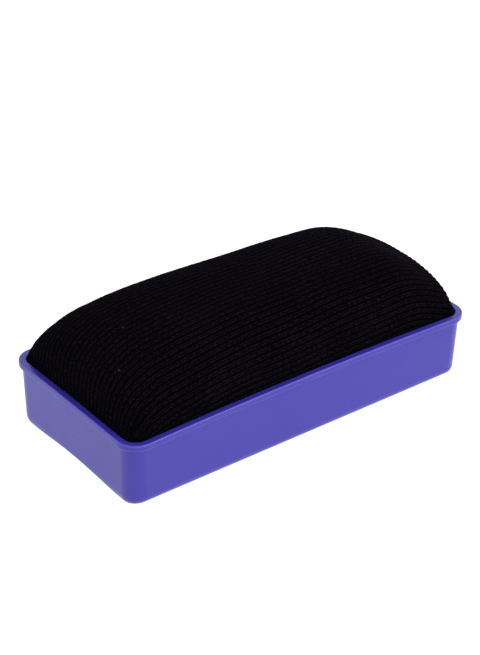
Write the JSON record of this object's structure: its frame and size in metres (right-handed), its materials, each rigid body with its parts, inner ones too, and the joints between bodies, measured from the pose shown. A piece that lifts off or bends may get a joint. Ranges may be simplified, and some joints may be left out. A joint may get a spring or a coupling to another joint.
{
  "type": "chalkboard eraser",
  "caption": "Hand-held chalkboard eraser: a moulded plastic tray that serves as the handle, with a domed corduroy-covered foam pad seated in it.",
  "frame": {"origin": "on the plane of the tray's two resting rails, below the middle of the object", "axes": "+X along the length, towards the end where the pad's crown is lower; +Y across the width; +Z from the resting face up through the pad"},
  "size_m": [0.145, 0.0698, 0.0483],
  "materials": {
    "moulded_plastic": "satin to gloss moulded blue-violet plastic, solid colour",
    "hardboard": "pressed fibre board, matte",
    "foam": "open-cell foam, matte, fine pores",
    "corduroy": "black cut-pile corduroy, lengthwise wales, matte with a faint sheen at grazing angles",
    "staple_wire": "zinc-plated flattened wire",
    "hot_melt_glue": "cloudy hot-melt glue, slightly waxy"
  },
  "bodies": {
    "root": {"handle_shell": "moulded_plastic", "backing_board": "hardboard", "foam_base": "foam", "foam_crown": "foam", "corduroy_cover": "corduroy", "cover_staples": "staple_wire", "glue_beads": "hot_melt_glue"}
  },
  "joints": []
}
